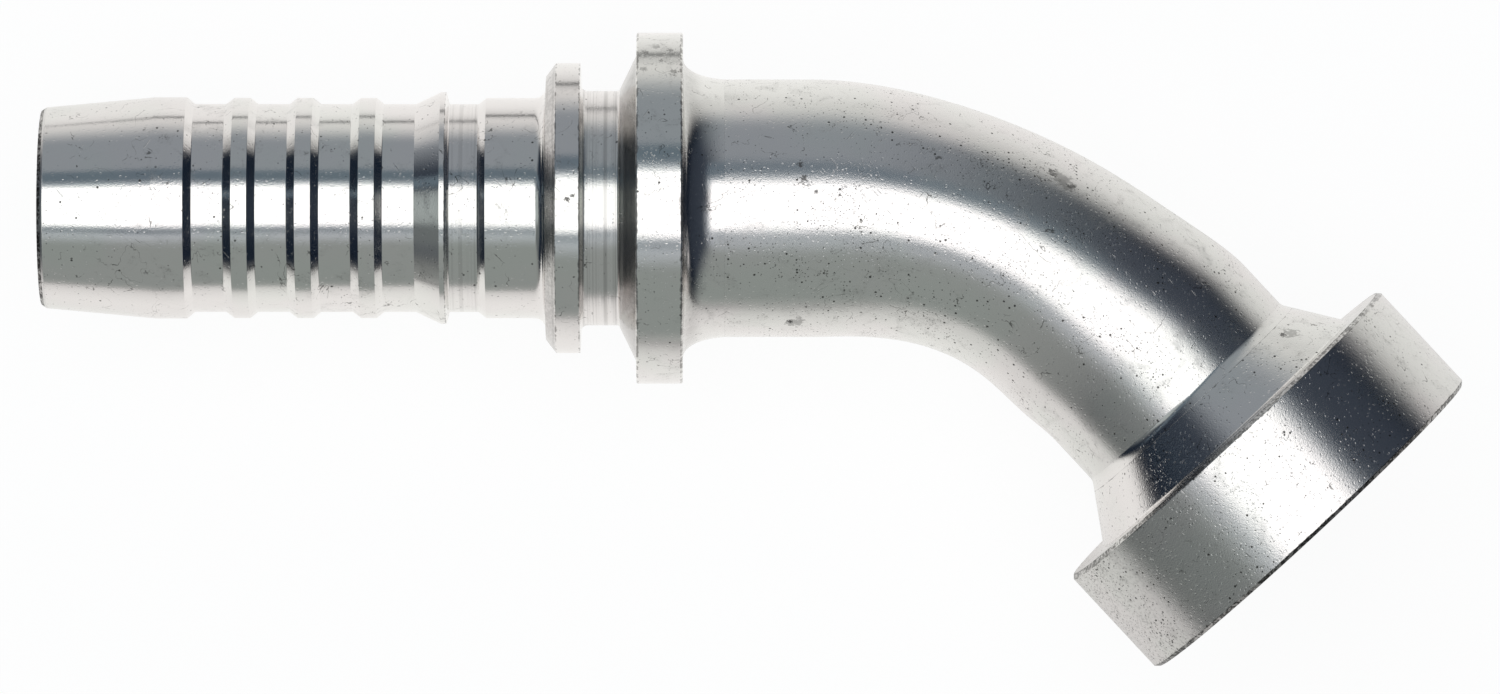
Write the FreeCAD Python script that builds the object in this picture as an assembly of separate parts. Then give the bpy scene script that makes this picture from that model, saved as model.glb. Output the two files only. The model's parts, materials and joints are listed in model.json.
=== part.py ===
import FreeCAD, Part
import math
import os

# A brazed steel hose end for one-inch hydraulic hose: a turned, ribbed stem that the hose pushes onto, a bent
# tube, and a split-flange head that two clamp halves hold against a port.
#
# Frame, in millimetres: the origin is the centre of the sealing face, the hose tail runs along -X, and the bend
# lies in the XY plane, so that the part lies flat with +Z up. The head points down the elbow angle from +X to -Y.

# Elbow
elbow_angle = 47.0
bend_radius = 52.0
corner_to_face = 49.1
corner_to_collar = 37.7

# Tube, how far the bend squeezes it in the plane of the bend and spreads it across, and how far its centre line
# drifts inwards past the middle of the bend
tube_d = 29.2
tube_wall = 4.0
bend_squeeze = 2.2
bend_spread = 0.8
bend_drift = 0.6
bend_sections = 9

# Hose stem: the lead-in and the land at the nose
stem_bore_d = 18.4
tip_d = 22.7
nose_round = 0.45
nose_bore_chamfer = 0.5
lead_length = 12.9
land_d = 25.1
land_length = 3.45

# Hose stem: square ribs, with a recess before each
rib_count = 3
rib_d = 25.0
rib_width = 1.85
root_d = 23.6
recess_length = 5.3
recess_flank = 0.85

# Hose stem: the saw-tooth barb and the rear land
barb_d = 26.3
barb_gap = 3.6
barb_ramp = 2.9
barb_rim = 0.6
barb_drop = 0.4
rear_root_length = 3.3
rear_land_d = 25.0
rear_land_length = 6.8
rear_land_fillet = 1.1

# Hose stem: the stop collar, the groove that the ferrule locks into, and the crimp collar
stop_collar_d = 32.9
stop_collar_width = 3.9
stop_chamfer_depth = 1.5
stop_chamfer_length = 1.1
lock_groove_d = 26.6
lock_groove_width = 4.4
lock_ramp_d = 34.8
lock_ramp_length = 1.95
crimp_collar_d = 39.8
crimp_collar_width = 5.3
crimp_collar_chamfer = 0.25

# Brazed sockets in the stem and in the head
braze_gap = 0.1
stem_socket_depth = 4.8
stem_bore_flare = 2.5
head_socket_depth = 7.0
stem_fillet_length = 3.1
stem_fillet_height = 2.3
head_fillet_length = 1.2
fillet_reach = 0.5

# Flange head
head_d = 47.6
head_thickness = 14.2
head_chamfer = 0.4
neck_d = 37.6
neck_length = 5.3
neck_lip = 0.6
neck_fillet = 0.4
head_bore_chamfer = 0.6

# Seal groove in the sealing face, and its rubber ring at the height that the mating face squeezes it to
groove_d = 39.7
groove_width = 4.3
groove_depth = 2.8
seal_section = 3.53
seal_clearance = 0.05

tube_r = tube_d / 2
tube_bore_r = tube_r - tube_wall
socket_r = tube_r + braze_gap

bend_reach = bend_radius * math.tan(math.radians(elbow_angle) / 2)
barb_start = lead_length + land_length + rib_count * (recess_length + rib_width) + recess_flank + barb_gap
barb_end = barb_start + barb_ramp + barb_rim + barb_drop
stop_face = barb_end + rear_root_length + recess_flank + rear_land_length
lock_groove_start = stop_face + stop_collar_width
crimp_collar_start = lock_groove_start + lock_groove_width + lock_ramp_length
stem_length = crimp_collar_start + crimp_collar_width
stem_socket_floor = stem_length - stem_socket_depth
neck_mouth = -head_thickness - neck_length
head_socket_floor = neck_mouth + head_socket_depth

head_axis = FreeCAD.Vector(math.cos(math.radians(elbow_angle)), -math.sin(math.radians(elbow_angle)), 0)
elbow_corner = head_axis * -corner_to_face
nose = elbow_corner - FreeCAD.Vector(corner_to_collar + stem_length, 0, 0)
bend_start = elbow_corner - FreeCAD.Vector(bend_reach, 0, 0)
bend_end = elbow_corner + head_axis * bend_reach


def rounded_outline(corners):
    """Closed wire in the XY plane through corners (x, y, rounding); each rounded corner becomes a tangent arc."""
    edges = []
    joints = []
    for i, (x, y, rounding) in enumerate(corners):
        corner = FreeCAD.Vector(x, y, 0)
        if not rounding:
            joints.append((corner, corner))
            continue
        before = FreeCAD.Vector(*corners[i - 1][:2], 0) - corner
        after = FreeCAD.Vector(*corners[(i + 1) % len(corners)][:2], 0) - corner
        before.normalize()
        after.normalize()
        half_angle = before.getAngle(after) / 2
        towards_centre = before + after
        towards_centre.normalize()
        reach = rounding / math.tan(half_angle)
        middle = corner + towards_centre * (rounding / math.sin(half_angle) - rounding)
        first = corner + before * reach
        last = corner + after * reach
        edges.append(Part.Arc(first, middle, last).toShape())
        joints.append((first, last))
    for i in range(len(joints)):
        start = joints[i - 1][1]
        end = joints[i][0]
        if start.distanceToPoint(end) > 1e-6:
            edges.append(Part.LineSegment(start, end).toShape())
    return Part.Wire(Part.__sortEdges__(edges))


def turned(wire):
    """Solid turned about the X axis from an outline in the XY plane."""
    return Part.Face(wire).revolve(FreeCAD.Vector(0, 0, 0), FreeCAD.Vector(1, 0, 0), 360)


def on_tail(shape):
    """Place a shape turned about X with its zero at the nose of the stem."""
    shape.translate(nose)
    return shape


def on_head(shape):
    """Place a shape turned about X with its zero on the sealing face and +X pointing out of the port face."""
    shape.rotate(FreeCAD.Vector(0, 0, 0), FreeCAD.Vector(0, 0, 1), -elbow_angle)
    return shape


def recess(start, bottom_d, length, next_d, last_d):
    """Corners of a shallow recess with sloping flanks, between lands of diameter last_d and next_d."""
    return [
        (start, last_d / 2, 0),
        (start + recess_flank, bottom_d / 2, 0),
        (start + length - recess_flank, bottom_d / 2, 0),
        (start + length, next_d / 2, 0),
    ]


def tail_corners():
    """Outside of the hose tail from the nose to the foot of the stop collar."""
    corners = [(0, tip_d / 2, nose_round), (lead_length, land_d / 2, 0)]
    land_end = lead_length + land_length
    before = land_d
    for rib in range(rib_count):
        start = land_end + rib * (recess_length + rib_width)
        corners += recess(start, root_d, recess_length, rib_d, before)
        before = rib_d
    last_rib_end = land_end + rib_count * (recess_length + rib_width)
    corners += [
        (last_rib_end, rib_d / 2, 0),
        (last_rib_end + recess_flank, root_d / 2, 0),
        (barb_start, root_d / 2, 0),
        (barb_end - barb_drop - barb_rim, barb_d / 2, 0),
        (barb_end - barb_drop, barb_d / 2, 0),
        (barb_end, root_d / 2, 0),
        (barb_end + rear_root_length, root_d / 2, 0),
        (barb_end + rear_root_length + recess_flank, rear_land_d / 2, 0),
        (stop_face, rear_land_d / 2, rear_land_fillet),
    ]
    return corners


def hose_stem():
    corners = tail_corners()
    corners += [
        (stop_face, stop_collar_d / 2 - stop_chamfer_depth, 0),
        (stop_face + stop_chamfer_length, stop_collar_d / 2, 0),
        (lock_groove_start, stop_collar_d / 2, 0),
        (lock_groove_start, lock_groove_d / 2, 0),
        (lock_groove_start + lock_groove_width, lock_groove_d / 2, 0),
        (crimp_collar_start, lock_ramp_d / 2, 0),
        (crimp_collar_start, crimp_collar_d / 2 - crimp_collar_chamfer, 0),
        (crimp_collar_start + crimp_collar_chamfer, crimp_collar_d / 2, 0),
        (stem_length - crimp_collar_chamfer, crimp_collar_d / 2, 0),
        (stem_length, crimp_collar_d / 2 - crimp_collar_chamfer, 0),
        (stem_length, socket_r, 0),
        (stem_socket_floor, socket_r, 0),
        (stem_socket_floor, tube_bore_r, 0),
        (stem_socket_floor - stem_bore_flare, stem_bore_d / 2, 0),
        (nose_bore_chamfer, stem_bore_d / 2, 0),
        (0, stem_bore_d / 2 + nose_bore_chamfer, 0),
    ]
    return on_tail(turned(rounded_outline(corners)))


def flange_head():
    groove_r = groove_d / 2
    corners = [
        (head_socket_floor, tube_bore_r, 0),
        (head_socket_floor, socket_r, 0),
        (neck_mouth, socket_r, 0),
        (neck_mouth, socket_r + neck_lip, 0),
        (-head_thickness, neck_d / 2, neck_fillet),
        (-head_thickness, head_d / 2 - head_chamfer, 0),
        (-head_thickness + head_chamfer, head_d / 2, 0),
        (-head_chamfer, head_d / 2, 0),
        (0, head_d / 2 - head_chamfer, 0),
        (0, groove_r, 0),
        (-groove_depth, groove_r, 0),
        (-groove_depth, groove_r - groove_width, 0),
        (0, groove_r - groove_width, 0),
        (0, tube_bore_r + head_bore_chamfer, 0),
        (-head_bore_chamfer, tube_bore_r, 0),
    ]
    return on_head(turned(rounded_outline(corners)))


def braze_ring(mouth, into, length, height, depth):
    """Filler metal on the tube: a film that fills the socket, and a hollow fillet outside its mouth.

    The fillet runs from the mouth along the tube for its length, away from the direction `into` the socket.
    """
    tail = FreeCAD.Vector(mouth - into * length, tube_r, 0)
    crest = FreeCAD.Vector(mouth, tube_r + height, 0)
    along_tube = tail + FreeCAD.Vector(into * length * fillet_reach, 0, 0)
    down_face = crest - FreeCAD.Vector(0, height * fillet_reach, 0)
    curve = Part.BezierCurve()
    curve.setPoles([tail, along_tube, down_face, crest])
    straight = Part.makePolygon([
        crest,
        FreeCAD.Vector(mouth, socket_r, 0),
        FreeCAD.Vector(mouth + into * depth, socket_r, 0),
        FreeCAD.Vector(mouth + into * depth, tube_r, 0),
        tail,
    ])
    return turned(Part.Wire([curve.toShape()] + straight.Edges))


def bend_point(angle):
    """Point on the tube's centre line at an angle round the bend, and the direction away from the bend's centre."""
    away = FreeCAD.Vector(math.sin(angle), math.cos(angle), 0)
    centre = bend_start - FreeCAD.Vector(0, bend_radius, 0)
    return centre + away * bend_radius, away


def oval(share, inset):
    """Oval section of the tube at a share of the bend, its outside drawn in by inset."""
    point, away = bend_point(math.radians(elbow_angle) * share)
    point -= away * bend_drift * math.sin(math.pi * share**3) ** 2
    bend_effect = math.sin(math.pi * share) ** 1.5
    across = tube_r - inset + bend_spread / 2 * bend_effect
    in_plane = tube_r - inset - bend_squeeze / 2 * bend_effect
    up = FreeCAD.Vector(0, 0, 1)
    along = up.cross(away)
    place = FreeCAD.Matrix(
        up.x, away.x, along.x, point.x,
        up.y, away.y, along.y, point.y,
        up.z, away.z, along.z, point.z,
        0, 0, 0, 1,
    )
    edge = Part.Ellipse(FreeCAD.Vector(0, 0, 0), across, in_plane).toShape()
    edge.Placement = FreeCAD.Placement(place)
    return Part.Wire(edge)


def bent_rod(inset, past_ends):
    """Solid rod along the tube's route, inset from its outside and run past both ends."""
    first_end = nose + FreeCAD.Vector(stem_socket_floor - past_ends, 0, 0)
    last_end = head_axis * (head_socket_floor + past_ends)
    radius = tube_r - inset
    tail_leg = Part.makeCylinder(radius, (bend_start - first_end).Length, first_end, FreeCAD.Vector(1, 0, 0))
    head_leg = Part.makeCylinder(radius, (last_end - bend_end).Length, bend_end, head_axis)
    bend = Part.makeLoft([oval(i / (bend_sections - 1), inset) for i in range(bend_sections)], True)
    return tail_leg.fuse([bend, head_leg])


def elbow_tube():
    return bent_rod(0, 0).cut(bent_rod(tube_wall, 1))


def stem_braze_ring():
    return on_tail(braze_ring(stem_length, -1, stem_fillet_length, stem_fillet_height, stem_socket_depth))


def head_braze_ring():
    height = braze_gap + neck_lip
    return on_head(braze_ring(neck_mouth, 1, head_fillet_length, height, head_socket_depth))


def face_seal():
    # Squeezed to the groove's depth, the round section keeps its area: flat top and bottom, round sides.
    bottom = -groove_depth + seal_clearance
    top = -seal_clearance
    side_r = (top - bottom) / 2
    flat_width = math.pi * (seal_section**2 / 4 - side_r**2) / (top - bottom)
    outer_r = groove_d / 2 - seal_clearance - side_r
    inner_r = outer_r - flat_width
    corners = [
        FreeCAD.Vector(bottom, inner_r, 0),
        FreeCAD.Vector(bottom, outer_r, 0),
        FreeCAD.Vector(top, outer_r, 0),
        FreeCAD.Vector(top, inner_r, 0),
    ]
    outer_side = FreeCAD.Vector(bottom + side_r, outer_r + side_r, 0)
    inner_side = FreeCAD.Vector(bottom + side_r, inner_r - side_r, 0)
    outline = [
        Part.LineSegment(corners[0], corners[1]),
        Part.Arc(corners[1], outer_side, corners[2]),
        Part.LineSegment(corners[2], corners[3]),
        Part.Arc(corners[3], inner_side, corners[0]),
    ]
    return on_head(turned(Part.Wire([curve.toShape() for curve in outline])))


PIECES = {
    "hose_stem": hose_stem,
    "elbow_tube": elbow_tube,
    "flange_head": flange_head,
    "stem_braze_ring": stem_braze_ring,
    "head_braze_ring": head_braze_ring,
    "face_seal": face_seal,
}

os.makedirs("parts", exist_ok=True)
for name, make in PIECES.items():
    shape = make()
    shape.exportStep(f"parts/{name}.step")
    print(name, "valid" if shape.isValid() else "not valid", len(shape.Solids), "solid,", round(shape.Volume, 1), "mm3")
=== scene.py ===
import json
import math

import bpy
import numpy as np
from mathutils import Matrix, Vector


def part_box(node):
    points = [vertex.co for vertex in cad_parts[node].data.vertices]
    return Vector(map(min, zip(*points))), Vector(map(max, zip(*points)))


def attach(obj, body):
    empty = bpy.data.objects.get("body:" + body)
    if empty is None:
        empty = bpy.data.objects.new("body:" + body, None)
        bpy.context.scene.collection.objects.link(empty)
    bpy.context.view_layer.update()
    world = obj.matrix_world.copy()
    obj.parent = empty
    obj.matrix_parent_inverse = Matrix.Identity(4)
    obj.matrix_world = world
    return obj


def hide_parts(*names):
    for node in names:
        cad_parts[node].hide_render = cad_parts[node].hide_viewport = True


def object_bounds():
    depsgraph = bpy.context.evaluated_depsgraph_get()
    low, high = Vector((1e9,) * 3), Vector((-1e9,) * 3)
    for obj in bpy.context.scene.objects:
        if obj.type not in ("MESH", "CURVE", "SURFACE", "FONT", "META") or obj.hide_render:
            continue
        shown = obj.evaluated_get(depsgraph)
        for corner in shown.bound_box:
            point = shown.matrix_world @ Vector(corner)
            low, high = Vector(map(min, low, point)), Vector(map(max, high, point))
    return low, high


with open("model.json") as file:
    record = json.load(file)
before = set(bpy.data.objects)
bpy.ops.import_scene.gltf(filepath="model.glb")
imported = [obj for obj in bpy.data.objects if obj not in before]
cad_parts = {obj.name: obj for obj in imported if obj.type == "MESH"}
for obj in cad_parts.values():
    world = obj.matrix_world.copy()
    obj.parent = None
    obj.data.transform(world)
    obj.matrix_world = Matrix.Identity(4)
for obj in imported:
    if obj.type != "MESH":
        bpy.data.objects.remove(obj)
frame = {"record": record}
cad_bounds = [list(corner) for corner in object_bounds()]

# Hose stem. One piece of bar steel, turned all over on a lathe and bright zinc plated: a lead-in taper, a
# land, three square ribs, a saw-tooth barb, a rear land, the stop collar, the ferrule's lock groove and the
# crimp collar. The oil bore runs right through and opens into a socket for the tube in the rear face.

MM = 0.001
stem_low, stem_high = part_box("hose_stem")
tail_origin = np.array([stem_low.x, (stem_low.y + stem_high.y) / 2, 0])
tail_axis = np.array([1.0, 0, 0])
up = np.array([0, 0, 1.0])
stem_length = (stem_high.x - stem_low.x) / MM

# Radii of the stem and of the tube in it, in mm.
nose_face_r = 11.0
nose_r = 11.4
land_r = 12.55
rib_r = 12.5
root_r = 11.8
barb_r = 13.15
stop_face_r = 14.95
stop_collar_r = 16.45
lock_groove_r = 13.3
lock_ramp_r = 17.4
crimp_collar_r = 19.9
bore_r = 9.2
bore_chamfer = 0.5
tube_r = 14.6
socket_r = 14.7
tube_bore_r = 10.6

# Stations of the stem's steps, in mm from the nose. A recess's root and end count from the recess's start.
nose_bevel_end = 0.6
lead_end = 12.9
land_end = 16.48
rib_count = 3
rib_pitch = 7.16
recess_root = 0.88, 4.42
recess_end = 5.36
barb_root = 38.82, 42.4
barb_rim = 45.25, 45.85
rear_root = 46.22, 49.5
rear_land_start = 50.38
rear_land_end = 57.1
stop_face = 57.15
stop_rim = 58.3, 61.05
lock_ramp_start = 65.4
crimp_face = 67.4

# The tube's socket in the rear face, and the short cone between it and the bore, in mm.
stem_socket_depth = 4.8
bore_flare = 2.5

# Roundings in mm, of edges first and then of the hollows at the foot of a flank or a collar.
edge = 0.08
soft_edge = 0.1
nose_edge = 0.12
crimp_front_edge = 0.2
crimp_edge = 0.25
blend = 0.3
foot = 0.2
groove_hollow = 0.8
stop_hollow = 1.25

stem_corners = [
    (0, nose_face_r, soft_edge),
    (nose_bevel_end, nose_r, nose_edge),
    (lead_end, land_r, blend),
    (land_end, land_r, edge),
]
for rib in range(rib_count):
    recess_start = land_end + rib * rib_pitch
    stem_corners += [
        (recess_start + recess_root[0], root_r, foot),
        (recess_start + recess_root[1], root_r, foot),
        (recess_start + recess_end, rib_r, edge),
        (recess_start + rib_pitch, rib_r, edge),
    ]
stem_corners += [
    (barb_root[0], root_r, foot),
    (barb_root[1], root_r, foot),
    (barb_rim[0], barb_r, edge),
    (barb_rim[1], barb_r, edge),
    (rear_root[0], root_r, foot),
    (rear_root[1], root_r, foot),
    (rear_land_start, rib_r, edge),
    (rear_land_end, rib_r, stop_hollow),
    (stop_face, stop_face_r, edge),
    (stop_rim[0], stop_collar_r, edge),
    (stop_rim[1], stop_collar_r, soft_edge),
    (stop_rim[1], lock_groove_r, groove_hollow),
    (lock_ramp_start, lock_groove_r, blend),
    (crimp_face, lock_ramp_r, crimp_edge),
    (crimp_face, crimp_collar_r, crimp_front_edge),
    (stem_length, crimp_collar_r, crimp_edge),
    (stem_length, socket_r, edge),
    (stem_length - stem_socket_depth, socket_r, edge),
    (stem_length - stem_socket_depth, tube_bore_r, edge),
    (stem_length - stem_socket_depth - bore_flare, bore_r, edge),
    (bore_chamfer, bore_r, edge),
    (0, bore_r + bore_chamfer, edge),
]
arc_points = 5


def rounded_outline(corners, wear_width=0.35, sharp_turn=0.75):
    """Outline through corners (station, radius, rounding) in mm, and its normals and its share of worn edge.

    Each corner becomes a tangent arc whose normal turns evenly from one side's normal to the next one's.
    Each straight run has a point in its middle and one near each end, where the wear of a sharp edge fades
    out. An edge is sharp where the outline turns outwards by more than sharp_turn, in radians. The solid
    lies to the right of the outline.
    """
    table = np.array(corners, float)
    point, rounding = table[:, :2], table[:, 2:3]
    ahead = np.roll(point, -1, axis=0) - point
    ahead /= np.linalg.norm(ahead, axis=1, keepdims=True)
    behind = np.roll(ahead, 1, axis=0)
    turn = np.arctan2(
        behind[:, 0] * ahead[:, 1] - behind[:, 1] * ahead[:, 0],
        (behind * ahead).sum(axis=1),
    )[:, None]
    bisector = (ahead - behind) / np.linalg.norm(ahead - behind, axis=1, keepdims=True)
    centre = point + bisector * (rounding / np.cos(turn / 2))
    angle = turn * np.linspace(0, 1, arc_points)
    first = np.stack([-behind[:, 1], behind[:, 0]], axis=1)
    arc_normal = np.stack(
        [
            first[:, :1] * np.cos(angle) - first[:, 1:] * np.sin(angle),
            first[:, :1] * np.sin(angle) + first[:, 1:] * np.cos(angle),
        ],
        axis=2,
    )
    arc = centre[:, None] - np.sign(turn)[:, :, None] * rounding[:, :, None] * arc_normal
    run_end = np.roll(arc[:, :1], -1, axis=0)
    run_length = np.linalg.norm(run_end - arc[:, -1:], axis=2)
    near = np.minimum(wear_width / run_length, 0.4)
    share = np.concatenate([near, np.full_like(near, 0.5), 1 - near], axis=1)[:, :, None]
    run = arc[:, -1:] * (1 - share) + run_end * share
    run_normal = np.repeat(arc_normal[:, -1:], 3, axis=1)
    sharp = np.repeat(turn < -sharp_turn, arc_points, axis=1)
    worn = np.concatenate([sharp, np.zeros((len(point), 3))], axis=1)
    return (
        np.concatenate([arc, run], axis=1).reshape(-1, 2),
        np.concatenate([arc_normal, run_normal], axis=1).reshape(-1, 2),
        worn.reshape(-1),
    )


def grid_piece(name, points, normals, worn):
    """Object from a closed grid of points (round, along, 3) in metres, with normals and worn-edge share."""
    around, along = points.shape[:2]
    index = np.arange(around * along).reshape(around, along)
    beside = np.roll(index, -1, axis=0)
    quads = np.stack([index, beside, np.roll(beside, -1, axis=1), np.roll(index, -1, axis=1)], axis=2)
    mesh = bpy.data.meshes.new(name)
    mesh.from_pydata(points.reshape(-1, 3).tolist(), [], quads.reshape(-1, 4).tolist())
    mesh.shade_smooth()
    mesh.normals_split_custom_set_from_vertices(normals.reshape(-1, 3).tolist())
    attribute = mesh.attributes.new("worn_edge", "FLOAT", "POINT")
    share = np.broadcast_to(worn, (around, along)).astype(np.float32)
    attribute.data.foreach_set("value", share.ravel())
    piece = bpy.data.objects.new(name, mesh)
    bpy.context.scene.collection.objects.link(piece)
    return piece


def turned_piece(name, corners, origin, axis, segments=256, nicks=0, seed=1):
    """Outline turned about an axis: point = origin + station * axis + radius * (side cos a + up sin a).

    Nicks are dents at chance angles in the sharp edges: each takes a small bell curve off the radius there.
    """
    outline, flat_normal, worn = rounded_outline(corners)
    side = np.array([-axis[1], axis[0], 0])
    angle = np.arange(segments) / segments * 2 * math.pi
    radial = np.cos(angle)[:, None] * side + np.sin(angle)[:, None] * up
    chance = np.random.default_rng(seed)
    dents = np.zeros((segments, len(outline)))
    for row in np.flatnonzero(np.diff(worn, prepend=0) > 0):
        where = chance.uniform(0, 2 * math.pi, nicks)
        deep = chance.uniform(0.02, 0.09, nicks)
        wide = chance.uniform(0.3, 0.9, nicks) / outline[row, 1]
        away = (angle[:, None] - where + math.pi) % (2 * math.pi) - math.pi
        dents[:, row:row + arc_points] += (deep * np.exp(-((away / wide) ** 2))).sum(axis=1)[:, None]
    radius = outline[:, 1] - dents
    stations, turns = outline[:, 0][None, :, None], radial[:, None]
    points = origin + MM * (stations * axis + radius[:, :, None] * turns)
    normals = flat_normal[:, 0][None, :, None] * axis + flat_normal[:, 1][None, :, None] * turns
    return grid_piece(name, points, normals, worn)


class Wire:
    """One output of a shader node. Arithmetic with it adds Math nodes to its tree, and | takes the larger."""

    def __init__(self, tree, socket=None):
        self.tree = tree
        self.socket = socket

    def node(self, kind, settings, values, output=0):
        """Adds a node: its settings first, then each socket's value or link. Returns one of its outputs."""
        made = self.tree.nodes.new(kind)
        for name, value in settings.items():
            setattr(made, name, value)
        for name, value in values.items():
            if isinstance(value, Wire):
                self.tree.links.new(value.socket, made.inputs[name])
            else:
                made.inputs[name].default_value = value
        return Wire(self.tree, made.outputs[output] if made.outputs else None)

    def math(self, operation, *values):
        """A Math node with this operation on these values."""
        return self.node("ShaderNodeMath", {"operation": operation}, dict(enumerate(values)))

    def root(self):
        """The square root."""
        return self.math("SQRT", self)

    def part(self, letter):
        """The X, Y or Z part of a vector."""
        return self.node("ShaderNodeSeparateXYZ", {}, {0: self}, output=letter)

    def __add__(self, other):
        return self.math("ADD", self, other)

    def __sub__(self, other):
        return self.math("SUBTRACT", self, other)

    def __rsub__(self, other):
        return self.math("SUBTRACT", other, self)

    def __mul__(self, other):
        return self.math("MULTIPLY", self, other)

    def __truediv__(self, other):
        return self.math("DIVIDE", self, other)

    def __rtruediv__(self, other):
        return self.math("DIVIDE", other, self)

    def __or__(self, other):
        return self.math("MAXIMUM", self, other)

    def __abs__(self):
        return self.math("ABSOLUTE", self)

    __radd__ = __add__
    __rmul__ = __mul__
    __ror__ = __or__


def fresh_material(name):
    """A new material with no nodes, and a Wire with no socket that adds nodes to it."""
    material = bpy.data.materials.new(name)
    material.use_nodes = True
    material.node_tree.nodes.clear()
    return material, Wire(material.node_tree)


def smooth(wire, low, high):
    """0 below low, 1 above high and a smooth step between, or the other way round if low is above high."""
    return wire.node(
        "ShaderNodeMapRange",
        {"interpolation_type": "SMOOTHSTEP"},
        {"Value": wire, "From Min": low, "From Max": high},
    )


def tint(share, before, after):
    """Colour before where share is 0, colour after where it is 1."""
    return share.node("ShaderNodeMix", {"data_type": "RGBA"}, {0: share, 6: before, 7: after}, output=2)


def noise(place, size, detail=2.0, distortion=0.0):
    """Cloudy noise from 0 to 1 with features about as large as size, in mm."""
    return place.node(
        "ShaderNodeTexNoise",
        {},
        {"Vector": place, "Scale": 1 / (size * MM), "Detail": detail, "Distortion": distortion},
    )


def pits(place, size, share, ragged):
    """Ragged dots about size mm across, where the surface cuts through balls that float in a foam's cells.

    A cell is size / 0.42 wide. A share of the cells hold a ball, which is 1 where the distance to the cell's
    own point, made ragged, is under 0.17 cells, and 0 where it is over 0.27.
    """
    cell = {"Vector": place, "Scale": 0.42 / (size * MM)}
    away = place.node("ShaderNodeTexVoronoi", {}, cell, output="Distance")
    chance = place.node("ShaderNodeTexVoronoi", {}, cell, output="Color").part("X")
    return smooth(away + (ragged - 0.5) * 0.3, 0.27, 0.17) * smooth(chance + share, 0.99, 1.01)


def scratches(place, turn, length, width, share, ragged):
    """Straight scratches one way: pits drawn out to length by width, in mm."""
    stretch = (length / width, 1.0, 1.0)
    drawn_out = {"Vector": place, "Rotation": turn, "Scale": stretch}
    return pits(place.node("ShaderNodeMapping", {"vector_type": "TEXTURE"}, drawn_out), width, share, ragged)


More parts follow.
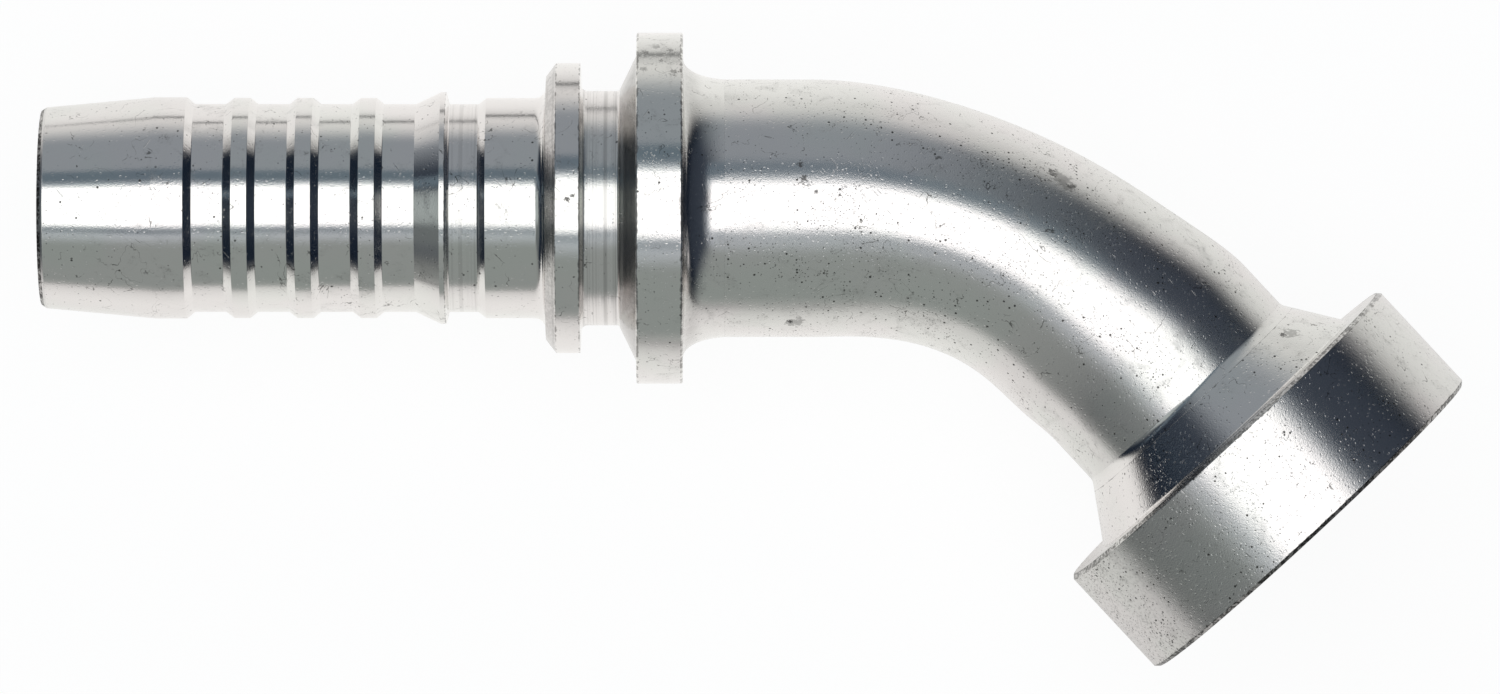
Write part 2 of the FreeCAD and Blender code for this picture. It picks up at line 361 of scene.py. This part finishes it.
def zinc_plate(
    name, origin, axis, roughness, peel, specks,
    coarse=(), matt=(), grime_and_shade=(), dirty=(), marks=(), dirt=(), scuffs=(), rough_side=None,
):
    """Bright zinc on steel: a mirror with a pink and green tinge, lathe marks, pits, scratches and stains.

    Lengths are in mm. Peel is the height of the fine unevenness, and specks scales how many pits there are.
    Bands lie between two stations along the axis:
    - coarse (first, last, share) has coarser lathe marks
    - matt (first, last, fade, extra roughness) is less shiny
    - dirty (first, last, share) has more specks and scratches
    - grime and shade bands (first, last, fade, inner radius, strength, even share) are darker outside the
      inner radius, evenly by the even share and otherwise in speckles; in hollows and creases it is painted
      shade
    Spots lie round a place and have a size:
    - marks (place, size, strength) are ragged and dark
    - dirt (place, size, share) has more specks and hairlines
    - scuffs (place, size, share) have more scratches
    Rough side is a direction and the two distances that way between which the plating turns dull and pitted.
    """
    zinc_pink, zinc_green = (0.842, 0.815, 0.802, 1), (0.822, 0.820, 0.792, 1)
    # The black tints pits, marks and grime, and the painted shade in hollows and creases.
    stain_grey, dirt_and_shade_black = (0.21, 0.205, 0.195, 1), (0.05, 0.048, 0.046, 1)
    material, start = fresh_material(name)
    place = start.node("ShaderNodeTexCoord", {}, {}, output="Object")

    def distance_along(direction):
        towards = {0: place, 1: tuple(np.array(direction) / MM)}
        return start.node("ShaderNodeVectorMath", {"operation": "DOT_PRODUCT"}, towards, output="Value")

    def distance_from(centre):
        spot = {0: place, 1: tuple(np.array(centre) * MM)}
        return start.node("ShaderNodeVectorMath", {"operation": "DISTANCE"}, spot, output="Value") / MM

    station = distance_along(axis) - float(np.dot(origin, axis)) / MM
    reach = distance_from(np.array(origin) / MM)
    radius = (reach * reach - station * station).root()

    def band(first, last, fade_in=0.1, fade_out=0.1):
        return smooth(station, first - fade_in, first) * smooth(station, last + fade_out, last)

    def near_any(spots):
        near = station * 0
        for centre, size, share in spots:
            near = near | smooth(distance_from(centre), size, size * 0.3) * share
        return near

    # Noise of three sizes, and where the surface is worn, dull, scuffed, grubby or crowded with specks.
    clouds = noise(place, 14, 3)
    fine = noise(place, 0.34, 3)
    grain = noise(place, 0.15, 2)
    worn = start.node("ShaderNodeAttribute", {"attribute_name": "worn_edge"}, {}, output="Fac")
    dull = smooth(distance_along(rough_side[0]), *rough_side[1:]) if rough_side else station * 0
    scuffed = near_any(scuffs)
    grubby = near_any(dirt) * smooth(noise(place, 2.0, 3), 0.36, 0.60)
    crowd = smooth(noise(place, 5.5, 3), 0.38, 0.68) | grubby
    for first, last, share in dirty:
        crowd = crowd | band(first, last, 1.5, 1.5) * share

    # Grey stains, hairlines, scratches and bare edges.
    smudge = smooth(noise(place, 2.4, 7, 0.8), 0.50, 0.74) * smooth(noise(place, 15, 2), 0.40, 0.60)
    mottle = smooth(fine, 0.48, 0.66) * (smudge * 0.5 + dull * 0.30)
    hairline_place = smooth(noise(place, 2.6, 3), 0.55, 0.62) | grubby * 0.9
    hairline = smooth(abs(noise(place, 4.6, 4, 0.5) - 0.5), 0.006, 0.002) * hairline_place
    scratched = crowd * 0.05 + scuffed
    scratch = (
        scratches(place, (0.3, 0.5, 0.9), 1.8, 0.11, scratched, fine)
        | scratches(place, (1.1, 0.2, 2.3), 1.2, 0.10, scratched, fine)
        | scratches(place, (0.6, 1.0, 1.6), 2.4, 0.09, scratched, fine)
    )
    bare_edge = smooth(worn + (noise(place, 0.8, 4) - 0.5) * 1.8, 0.85, 1.15)
    stain = mottle | hairline * 0.85 | bare_edge * 0.7 | scratch * 0.08 | smudge * 0.12

    # Dark pits, marks, grime, and painted shade in hollows and creases.
    fine_share = (0.05 + crowd * crowd * 0.30) * specks + dull * 0.45
    large_share = (crowd * 0.10 + grubby * 0.05) * specks + dull * 0.28
    fine_pits = pits(place, 0.14, fine_share, fine) * (0.7 + dull * 0.2)
    large_pits = pits(place, 0.25, large_share, fine) * 0.9
    dark = fine_pits | large_pits
    for centre, size, strength in marks:
        ragged = distance_from(centre) / size + (noise(place, size * 0.35, 5) - 0.5) * 2.6
        dark = dark | smooth(ragged, 0.75, 0.35) * strength
    speckled = smooth(fine + noise(place, 1.2, 3) * 0.6, 0.66, 0.90)
    # Dark bands: grime, and painted shade where a band lies in a hollow or a crease.
    for first, last, fade, inner, strength, even in grime_and_shade:
        dark_band = band(first, last, fade_out=fade) * smooth(radius, inner, inner + 0.1) * strength
        dark = dark | dark_band * (speckled * (1 - even) + even)

    # Height and roughness. Lathe marks are noise in the station along the axis alone.
    one_way = {"noise_dimensions": "1D"}
    lathe = start.node("ShaderNodeTexNoise", one_way, {"W": station, "Scale": 6.0, "Detail": 3.0})
    streak = start.node("ShaderNodeTexNoise", one_way, {"W": station, "Scale": 1.9, "Detail": 2.0})
    dimple = pits(place, 0.23, 0.22 + peel * 42, fine)
    height = lathe * 0.0010 + (fine * 0.6 + grain) * (peel + dull * 0.006)
    height = height - dimple * peel * 1.1 - scratch * 0.009
    rough = roughness + (clouds - 0.5) * 0.08 + smudge * 0.08 + dark * 0.10 + scratch * 0.12
    rough = rough + bare_edge * 0.1 + dull * 0.16
    for first, last, fade, extra in matt:
        rough = rough + band(first, last, fade, fade) * extra
    for first, last, share in coarse:
        turned = band(first, last) * share
        height = height + streak * turned * 0.05
        stain = stain | smooth(streak, 0.56, 0.30) * turned * 0.35
        rough = rough + turned * 0.08

    colour = tint(smooth(clouds, 0.42, 0.62), zinc_pink, zinc_green)
    colour = tint(stain, colour, stain_grey)
    colour = tint(dark, colour, dirt_and_shade_black)
    bump = start.node("ShaderNodeBump", {}, {"Strength": 1.0, "Distance": MM, "Height": height})
    shader = start.node(
        "ShaderNodeBsdfPrincipled",
        {},
        {"Base Color": colour, "Metallic": 1.0, "Roughness": rough, "Normal": bump},
    )
    start.node("ShaderNodeOutputMaterial", {}, {"Surface": shader})
    return material


hose_stem = turned_piece("hose_stem_plated", stem_corners, tail_origin, tail_axis, nicks=9, seed=4)
hose_stem.data.materials.append(
    zinc_plate(
        "turned_zinc",
        tail_origin,
        tail_axis,
        roughness=0.10,
        peel=0.005,
        specks=0.4,
        coarse=[(46.0, 49.7, 0.5), (61.2, 65.5, 1.0), (57.2, 58.3, 0.7)],
        matt=[(-0.5, 0.62, 0.1, 0.22)],
        # Dark bands: one along the nose's edge, and painted shade on the lock groove's ramp and the stop
        # collar's front face.
        grime_and_shade=[
            (-0.5, 0.35, 0.1, 10.8, 0.95, 0.3),
            (65.6, 67.3, 0.1, 13.0, 0.5, 0.9),
            (57.2, 58.2, 0.1, 14.8, 0.38, 0.6),
        ],
        dirty=[(67.6, 72.5, 0.75)],
        dirt=[
            ((-133.5, 29.0, 10.5), 6.0, 0.8),
            ((-134.5, 41.5, 10.6), 6.0, 0.6),
            ((-132.0, 47.4, 4.9), 6.0, 0.9),
            ((-133.5, 24.6, 5.3), 6.0, 0.7),
            ((-73.5, 52.0, 11.5), 5.0, 1.0),
        ],
        scuffs=[
            ((-74.3, 41.0, 19.2), 2.0, 0.7),
            ((-73.5, 52.0, 11.5), 4.0, 0.5),
            ((-130.0, 38.2, 12.0), 1.5, 0.4),
        ],
        marks=[
            ((-131.5, 28.6, 9.9), 0.45, 0.6),
            ((-84.1, 36.7, 16.4), 0.5, 0.9),
            ((-83.5, 37.1, 16.4), 0.4, 0.85),
            ((-75.4, 53.3, 9.6), 0.7, 0.5),
            ((-74.2, 54.0, 8.3), 0.9, 0.4),
            ((-72.6, 53.6, 9.1), 0.6, 0.55),
            ((-75.6, 51.4, 12.5), 0.6, 0.4),
            ((-72.2, 51.0, 13.0), 0.8, 0.45),
            ((-73.6, 52.3, 11.2), 0.5, 0.5),
        ],
    )
)
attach(hose_stem, "root")
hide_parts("hose_stem")

# Elbow tube. Thick-wall drawn steel tube, cut to length and bent once on a die, which leaves it a little
# flat in the plane of the bend. Both ends are brazed into sockets, and it is plated with the turned pieces.

head_axis = np.array(next(m["axis"] for m in frame["record"]["mounts"] if m["name"] == "seal_face"))
bend_angle = math.acos(head_axis[0])
bend_radius = 52.0
tube_wall = 4.0

# What the die does to the tube round the bend, in mm: it gets narrower in the plane of the bend and wider
# across it, and its centre line drifts inwards.
squeeze = 2.2
spread = 0.8
drift = 0.6

# Where the two legs' axes meet, counted from the crimp collar, and the socket in the head's neck, in mm.
collar_to_corner = 37.7
neck_mouth = -19.5
head_socket_depth = 7.0
elbow_corner = tail_origin / MM + np.array([stem_length + collar_to_corner, 0, 0])
bend_reach = bend_radius * math.tan(bend_angle / 2)
bend_start = elbow_corner - np.array([bend_reach, 0, 0])


def tube_rings(inset, bend_rings=72):
    """Centre, outward direction and two half widths of each ring, in mm, with the outside drawn in by inset.

    The tube runs straight, round an arc of the bend radius, and straight again. With share going from 0 to 1
    round the bend, its half width in the plane loses half the squeeze, and the one across gains half the
    spread, times sin(pi share)^1.5. Its centre drifts inwards by drift times sin(pi share^3)^2.
    """
    share = np.concatenate([[0], np.linspace(0, 1, bend_rings), [1]])
    angle = (bend_angle * share)[:, None]
    away = np.concatenate([np.sin(angle), np.cos(angle), 0 * angle], axis=1)
    centre = bend_start - np.array([0, bend_radius, 0]) + away * bend_radius
    centre -= away * (drift * np.sin(math.pi * share**3) ** 2)[:, None]
    # The first and last rings are the tube's ends, at the bottoms of the two sockets.
    centre[0] = tail_origin / MM + np.array([stem_length - stem_socket_depth, 0, 0])
    centre[-1] = head_axis * (neck_mouth + head_socket_depth)
    effect = np.sin(math.pi * share) ** 1.5
    return centre, away, tube_r - inset - squeeze / 2 * effect, tube_r - inset + spread / 2 * effect


def tube_surface(inset, segments=192):
    """Rings swept along the tube, each an oval: point = centre + in_plane * away cos a + across * up sin a.

    An oval's normal has the two half widths changed round: away cos a * across + up sin a * in_plane.
    """
    centre, away, in_plane, across = tube_rings(inset)
    angle = (np.arange(segments) / segments * 2 * math.pi)[:, None, None]
    points = centre + in_plane[:, None] * away * np.cos(angle) + across[:, None] * up * np.sin(angle)
    normals = away * np.cos(angle) * across[:, None] + up * np.sin(angle) * in_plane[:, None]
    return points, normals / np.linalg.norm(normals, axis=2, keepdims=True)


outside, outside_normal = tube_surface(0)
inside, inside_normal = tube_surface(tube_wall)
elbow_tube = grid_piece(
    "elbow_tube_plated",
    np.concatenate([outside, inside[:, ::-1]], axis=1) * MM,
    np.concatenate([outside_normal, -inside_normal[:, ::-1]], axis=1),
    np.zeros(1),
)
elbow_tube.data.materials.append(
    zinc_plate(
        "tube_zinc",
        tail_origin,
        tail_axis,
        roughness=0.19,
        peel=0.008,
        specks=2.0,
        matt=[(125.0, 170.0, 35.0, 0.05)],
        dirt=[
            ((-29.0, 39.0, 10.5), 8.0, 1.0),
            ((-50.0, 26.0, 10.8), 9.0, 1.0),
            ((-34.4, 27.9, 14.0), 4.0, 1.0),
            ((-45.0, 44.0, 10.5), 6.0, 0.8),
        ],
        scuffs=[
            ((-17.0, 27.0, 13.6), 5.0, 0.08),
            ((-52.0, 38.0, 14.6), 5.0, 0.35),
            ((-27.0, 24.0, 13.5), 6.0, 0.12),
        ],
        marks=[
            ((-59.1, 23.1, 6.9), 0.6, 1.0),
            ((-58.4, 22.9, 6.8), 1.5, 0.45),
            ((-58.0, 40.6, 13.8), 0.5, 0.75),
            ((-57.6, 39.1, 14.2), 0.6, 0.8),
            ((-56.2, 37.6, 14.5), 0.35, 0.8),
            ((-29.6, 39.6, 10.0), 1.0, 0.7),
            ((-27.4, 38.3, 10.6), 0.8, 0.75),
            ((-28.4, 39.0, 10.4), 1.9, 0.4),
            ((-16.6, 35.0, 8.6), 0.6, 0.8),
            ((-17.4, 35.8, 8.3), 0.4, 0.7),
            ((-34.7, 27.4, 14.0), 0.45, 0.9),
            ((-48.0, 28.5, 12.4), 0.35, 0.8),
        ],
    )
)
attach(elbow_tube, "root")
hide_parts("elbow_tube")

# Flange head. One turned steel piece: a cone that the tube is brazed into, and the thick round head that two
# clamp halves pull against the port. The sealing face has a groove for the rubber ring round the oil bore.

head_origin = np.zeros(3)
head_r = 23.8
head_thickness = 14.2
head_chamfer = 0.4
head_chamfer_r = 23.4
neck_lip_r = 15.3
neck_foot_r = 18.8
seal_groove_r = 15.55, 19.85
seal_groove_depth = 2.8
face_bore_chamfer = 0.6

# The face's edge is a hair smaller than the rear one, which keeps the head inside the CAD model's box.
face_edge_r = 23.39

# Roundings in mm: the head's edges, the neck's mouth and lip, and the hollow at the foot of the cone.
head_edge = 0.12
mouth_edge = 0.05
lip_edge = 0.02
cone_hollow = 0.5

# The way across the head to the side that lies lowest in the picture, where the plating is rough.
lower_side = (-0.7314, -0.6820, 0)

head_corners = [
    (neck_mouth + head_socket_depth, tube_bore_r, edge),
    (neck_mouth + head_socket_depth, socket_r, edge),
    (neck_mouth, socket_r, mouth_edge),
    (neck_mouth, neck_lip_r, lip_edge),
    (-head_thickness, neck_foot_r, cone_hollow),
    (-head_thickness, head_chamfer_r, head_edge),
    (-head_thickness + head_chamfer, head_r, head_edge),
    (-head_chamfer, head_r, head_edge),
    (0, face_edge_r, head_edge),
    (0, seal_groove_r[1], edge),
    (-seal_groove_depth, seal_groove_r[1], foot),
    (-seal_groove_depth, seal_groove_r[0], foot),
    (0, seal_groove_r[0], edge),
    (0, tube_bore_r + face_bore_chamfer, edge),
    (-face_bore_chamfer, tube_bore_r, edge),
]
flange_head = turned_piece("flange_head_plated", head_corners, head_origin, head_axis, nicks=14, seed=9)
flange_head.data.materials.append(
    zinc_plate(
        "head_zinc",
        head_origin,
        head_axis,
        roughness=0.14,
        peel=0.010,
        specks=1.6,
        matt=[(-14.3, 0.2, 0.1, 0.06)],
        # Darker bands along the rim's front and back edges.
        grime_and_shade=[(-0.4, 0.1, 0.1, 23.3, 0.95, 0.3), (-14.6, -13.9, 0.1, 23.1, 0.7, 0.2)],
        rough_side=(lower_side, 15.0, 22.0),
        marks=[((-3.7, 21.6, 10.7), 0.6, 0.8), ((-2.6, 22.0, 10.4), 1.5, 0.4)],
        scuffs=[((-18.0, 5.8, 15.0), 2.5, 0.5), ((-10.0, 3.0, 22.0), 5.0, 0.15)],
    )
)
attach(flange_head, "root")
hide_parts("flange_head")

# Braze rings. Filler metal that ran into the gap between tube and socket and left a hollow fillet at the
# mouth, under the same plating. The one behind the crimp collar is the larger and runs out along the tube.

# Corners of the filler stay sharp, with a hair's rounding, in mm.
hair = 0.01
stem_fillet_height = 2.3
stem_fillet_length = 5.0
stem_fillet = [
    (stem_length, tube_r + stem_fillet_height),
    (stem_length + 0.12, tube_r + 1.0),
    (stem_length + 2.2, tube_r + 0.12),
    (stem_length + stem_fillet_length, tube_r),
]
stem_film = [
    (stem_length - stem_socket_depth, tube_r, hair),
    (stem_length - stem_socket_depth, socket_r, hair),
    (stem_length, socket_r, hair),
]

# The fillet on the head starts at the cone's lip in the cone's own slope.
neck_slope = (neck_foot_r - neck_lip_r) / (-head_thickness - neck_mouth)
slope_run = 0.3
head_fillet_length = 1.4
head_fillet = [
    (neck_mouth - head_fillet_length, tube_r),
    (neck_mouth - 0.9, tube_r),
    (neck_mouth - slope_run, neck_lip_r - slope_run * neck_slope),
    (neck_mouth, neck_lip_r),
]
head_film = [
    (neck_mouth, socket_r, hair),
    (neck_mouth + head_socket_depth, socket_r, hair),
    (neck_mouth + head_socket_depth, tube_r, hair),
]


def fillet_corners(controls, steps=14):
    """Corners along a cubic Bezier curve: the controls weighted by (1-t)^3, 3(1-t)^2 t, 3(1-t)t^2 and t^3.

    Each inner corner's rounding reaches nearly half way to its nearer neighbour, so that no facet shows:
    rounding = nearly_half * the shorter run / tan(half the turn).
    """
    nearly_half = 0.48
    t = np.linspace(0, 1, steps)[:, None]
    weights = np.concatenate([(1 - t) ** 3, 3 * (1 - t) ** 2 * t, 3 * (1 - t) * t**2, t**3], axis=1)
    curve = weights @ np.array(controls)
    run = np.diff(curve, axis=0)
    length = np.linalg.norm(run, axis=1)
    turn = np.diff(np.arctan2(run[:, 1], run[:, 0]))
    rounding = np.full(steps, hair)
    shorter = np.minimum(length[1:], length[:-1])
    rounding[1:-1] = nearly_half * shorter / np.tan(abs(turn) / 2 + 1e-4)
    return np.column_stack([curve, rounding]).tolist()


# Painted shade on the braze fillet, in the crease behind the crimp collar.
fillet_painted_shade = [(72.0, 73.3, 1.8, 14.6, 0.25, 0.7)]
for node, corners, origin, axis, grime_and_shade in (
    ("stem_braze_ring", fillet_corners(stem_fillet) + stem_film, tail_origin, tail_axis, fillet_painted_shade),
    ("head_braze_ring", fillet_corners(head_fillet) + head_film, head_origin, head_axis, []),
):
    ring = turned_piece(node + "_plated", corners, origin, axis)
    finish = zinc_plate(node + "_zinc", origin, axis, roughness=0.15, peel=0.006, specks=0.9, grime_and_shade=grime_and_shade)
    ring.data.materials.append(finish)
    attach(ring, "root")
    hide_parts(node)

# Face seal. A round nitrile rubber ring in the groove of the sealing face, drawn at the height that the
# mating face presses it to, so that its top is just under the steel.

seal_r = 15.6, 19.8
seal_height = -2.75, -0.05
seal_side = 1.3
seal_corners = [
    (seal_height[0], seal_r[1], seal_side),
    (seal_height[1], seal_r[1], seal_side),
    (seal_height[1], seal_r[0], seal_side),
    (seal_height[0], seal_r[0], seal_side),
]
rubber_black = (0.014, 0.014, 0.015, 1)
rubber_bloom = (0.035, 0.035, 0.037, 1)
face_seal = turned_piece("face_seal_rubber", seal_corners, head_origin, head_axis, segments=192)
rubber, start = fresh_material("nitrile_rubber")
place = start.node("ShaderNodeTexCoord", {}, {}, output="Object")
bloom = smooth(noise(place, 5, 4), 0.4, 0.7)
rubber_colour = tint(bloom, rubber_black, rubber_bloom)
skin = noise(place, 0.25, 3) * 0.02
bump = start.node("ShaderNodeBump", {}, {"Strength": 0.4, "Distance": MM, "Height": skin})
shader = start.node(
    "ShaderNodeBsdfPrincipled",
    {},
    {"Base Color": rubber_colour, "Roughness": 0.42 + bloom * 0.18, "Normal": bump},
)
start.node("ShaderNodeOutputMaterial", {}, {"Surface": shader})
face_seal.data.materials.append(rubber)
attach(face_seal, "root")
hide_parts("face_seal")

# Floor. A white sheet under the part. The camera sees an even glow and the metal mirrors one that fades
# outwards, each with a share of matt white that keeps the part's soft shadow. To other light it is all matt.

floor_z = cad_bounds[0][2]
sheet_low = (-0.320, -0.216)
sheet_high = (0.130, 0.150)
floor_mesh = bpy.data.meshes.new("floor")
floor_mesh.from_pydata(
    [
        (sheet_low[0], sheet_low[1], floor_z),
        (sheet_high[0], sheet_low[1], floor_z),
        (sheet_high[0], sheet_high[1], floor_z),
        (sheet_low[0], sheet_high[1], floor_z),
    ],
    [],
    [(0, 1, 2, 3)],
)
floor = bpy.data.objects.new("floor", floor_mesh)
bpy.context.scene.collection.objects.link(floor)
paper, start = fresh_material("white_sheet")
seen = start.node("ShaderNodeLightPath", {}, {}, output="Is Camera Ray")
mirrored = start.node("ShaderNodeLightPath", {}, {}, output="Is Glossy Ray")
behind = start.node("ShaderNodeNewGeometry", {}, {}, output="Backfacing")
place = start.node("ShaderNodeTexCoord", {}, {}, output="Object")
sheet_x = place.part("X")
sheet_y = place.part("Y")

# In the metal the sheet is brightest under the part and fades in an ellipse, less so in front of the tail
# and beyond it. Behind the tail a slanted painted dark line, with painted shade deepening towards it, is laid
# into the glow that the metal mirrors; the sheet itself is flat.
brightest = {"Location": (-0.076, 0.040, floor_z), "Scale": (0.0017, 0.001, 0.001)}
ellipse = start.node("ShaderNodeMapping", {"vector_type": "TEXTURE"}, {"Vector": place, **brightest})
away = start.node("ShaderNodeVectorMath", {"operation": "LENGTH"}, {0: ellipse}, output="Value")
left_front = smooth(sheet_x, -0.065, -0.095) * smooth(sheet_y, 0.02, -0.02)
far_side = smooth(sheet_y, 0.05, 0.09) * smooth(sheet_x, -0.03, -0.07)
fading = 1.08 - away * 0.0033 * (1 - left_front * 0.42 - far_side * 0.38) | 0.42
behind_tail = smooth(sheet_x, -0.062, -0.072)
slanted = sheet_y + (sheet_x + 0.110) * 0.46
painted_dark_line = smooth(slanted, 0.117, 0.122) * smooth(slanted, 0.139, 0.134) * behind_tail * 0.66
painted_edge_shade = smooth(slanted, 0.080, 0.120) * behind_tail * (smooth(sheet_x, -0.125, -0.095) * 0.13 + 0.06)
# Painted shade also dims the mirrored glow towards the left end and in front on the right.
left_edge = smooth(sheet_x, -0.17, -0.31) * 0.55
right_front = smooth(sheet_x, 0.02, 0.09) * smooth(sheet_y, 0.01, -0.04) * 0.5
brightness = fading - (painted_dark_line | painted_edge_shade | left_edge | right_front)

# The glow is a share of the whole look, and the matt white under it adds about matt_light to what it gives.
glow_share = 0.82
matt_light = 0.10
glow_strength = seen * 1.12 + (1 - seen) * ((brightness - matt_light) / glow_share)
matt = start.node("ShaderNodeBsdfDiffuse", {}, {"Color": (0.85, 0.85, 0.85, 1)})
warm_glow = start.node("ShaderNodeEmission", {}, {"Color": (1, 0.99, 0.97, 1), "Strength": glow_strength})
white_glow = start.node("ShaderNodeEmission", {}, {"Color": (1, 1, 1, 1), "Strength": glow_strength})
glow = start.node("ShaderNodeMixShader", {}, {0: seen, 1: warm_glow, 2: white_glow})
surface = start.node("ShaderNodeMixShader", {}, {0: (seen | mirrored) * glow_share, 1: matt, 2: glow})
clear = start.node("ShaderNodeBsdfTransparent", {}, {})
both_sides = start.node("ShaderNodeMixShader", {}, {0: behind, 1: surface, 2: clear})
start.node("ShaderNodeOutputMaterial", {}, {"Surface": both_sides})
floor_mesh.materials.append(paper)

# Studio. A square soft light overhead with a dark frame on two sides, grey walls above and below the
# picture, and dark ends left and right. The camera sees a plain white background instead.

world = bpy.data.worlds.new("studio")
bpy.context.scene.world = world
world.use_nodes = True
world.node_tree.nodes.clear()
start = Wire(world.node_tree)
way = start.node("ShaderNodeTexCoord", {}, {}, output="Generated")
x = way.part("X")
y = way.part("Y")
z = way.part("Z")

# Directions are as on a map, with north at the picture's top and east at its right.
level = (x * x + y * y).root()
east = x / (level | 0.001)
west = 0 - east
north = smooth(y, -0.15, 0.15)
south = 1 - north
above = smooth(z, 0.0, 0.02)

# Walls and dark ends: grey-green to the south, grey-blue to the north, navy at both ends.
south_grey = (0.285, 0.310, 0.300, 1)
north_grey = (0.280, 0.308, 0.335, 1)
south_west_grey = (0.245, 0.258, 0.250, 1)
low_navy = (0.010, 0.016, 0.028, 1)
high_navy = (0.036, 0.046, 0.064, 1)
left_end_haze = (0.150, 0.165, 0.170, 1)
left_card_grey = (0.42, 0.46, 0.46, 1)
walls = tint(north, south_grey, north_grey)
walls = tint(smooth(west, 0.35, 0.75) * south, walls, south_west_grey)
right_end = smooth(east, 0.05, 0.68) * north + smooth(east, 0.40, 0.75) * south
left_end = smooth(west, 0.60, 0.86) * smooth(z, 0.78, 0.66)
walls = tint(right_end | left_end, walls, tint(smooth(z, 0.10, 0.40), low_navy, high_navy))
walls = tint(left_end * south * smooth(z, 0.15, 0.50), walls, left_end_haze)
left_card = smooth(abs(y), 0.30, 0.20) * smooth(z, 0.50, 0.64) * smooth(west, 0.5, 0.9)
walls = tint(left_card, walls, left_card_grey)

# The pale ground fades in downwards from a little over the horizon, and later at the dark ends and south.
ground_white = (0.76, 0.755, 0.74, 1)
ground_right = (0.61, 0.60, 0.59, 1)
ground_south = (0.50, 0.50, 0.49, 1)
ground = tint(south, tint(right_end, ground_white, ground_right), ground_south)
held_down = right_end * 0.48 | smooth(east, 0.74, 0.86) | left_end | south * 0.7
ground_start = 0.25 - held_down * 0.30
ground_end = (right_end | left_end) * south * -0.12 - 0.26
walls = tint(smooth(z, ground_start, ground_end), walls, ground)

# The square light and its frame, laid out on a plane overhead: panel_x and panel_y are distances on it over
# its height. A strip left of its middle is shifted to the far side, and all left of that a little to the
# near side.
near_haze = (0.52, 0.56, 0.60, 1)
far_haze = (0.42, 0.48, 0.52, 1)
far_frame_blue = (0.130, 0.17, 0.205, 1)
frame_pale = (0.33, 0.37, 0.40, 1)
frame_dark = (0.20, 0.235, 0.26, 1)
panel_white = (1.5, 1.5, 1.5, 1)
panel_x = x / (z | 0.01)
strip_shift = smooth(panel_x, -0.056, -0.026) * smooth(panel_x, -0.006, -0.020) * 0.085
panel_y = y / (z | 0.01) - (strip_shift - smooth(panel_x, -0.02, -0.05) * 0.012)
near_side = smooth(panel_y, -0.95, -0.45) * smooth(abs(panel_x), 0.70, 0.35) * above * south
walls = tint(near_side, walls, near_haze)
near_frame = smooth(panel_y, -0.56, -0.53) * smooth(panel_y, -0.39, -0.42) * smooth(abs(panel_x), 0.40, 0.25)
walls = tint(near_frame * above, walls, tint(smooth(panel_x, -0.028, -0.042), frame_pale, frame_dark))
far_gap = smooth(panel_y, 0.56, 0.46) * smooth(abs(panel_x), 0.62, 0.45) * smooth(panel_y, 0.2, 0.4)
walls = tint(far_gap * above, walls, far_haze)
far_frame = smooth(panel_y, 0.47, 0.60) * smooth(panel_y, 0.94, 0.80) * smooth(panel_x, 0.66, 0.50)
walls = tint(far_frame * above, walls, far_frame_blue)
panel = smooth(panel_x, 0.48, 0.39) * smooth(panel_x, -0.44, -0.34)
panel = panel * smooth(panel_y, 0.46, 0.405) * smooth(panel_y, -0.40, -0.34)
walls = tint(panel * above, walls, panel_white)
seen = start.node("ShaderNodeLightPath", {}, {}, output="Is Camera Ray")
background = {"Color": tint(seen, walls, (1, 1, 1, 1)), "Strength": 1.0}
start.node("ShaderNodeOutputWorld", {}, {"Surface": start.node("ShaderNodeBackground", {}, background)})

# Camera. It looks straight down on the part from about 1.2 m through a long lens, as the picture was taken.
# The scale, the tilts and the small shift bring the part's outline to where it lies in the picture.

picture_width = 1500
pixels_per_mm = 8.8174
sensor_width = 36
distance = 1210.8
tilt_x, tilt_y, roll = math.radians(0.0348), math.radians(0.266), math.radians(-0.0343)
aim = Vector((-63.36, 19.93, 0))
shift_right, shift_up = 0.207, -0.2428
camera_data = bpy.data.cameras.new("camera")
camera_data.sensor_width = sensor_width
camera_data.lens = sensor_width * pixels_per_mm * distance / picture_width
camera_data.clip_start = 0.05
camera_data.clip_end = 20
camera = bpy.data.objects.new("camera", camera_data)
bpy.context.scene.collection.objects.link(camera)
turn = Matrix.Rotation(roll, 3, "Z") @ Matrix.Rotation(tilt_x, 3, "X") @ Matrix.Rotation(tilt_y, 3, "Y")
back = turn.transposed()
stand = aim + back @ Vector((-shift_right, -shift_up, distance))
camera.matrix_world = Matrix.Translation(stand * MM) @ back.to_4x4()
bpy.context.scene.camera = camera
bpy.context.scene.view_settings.view_transform = "Standard"
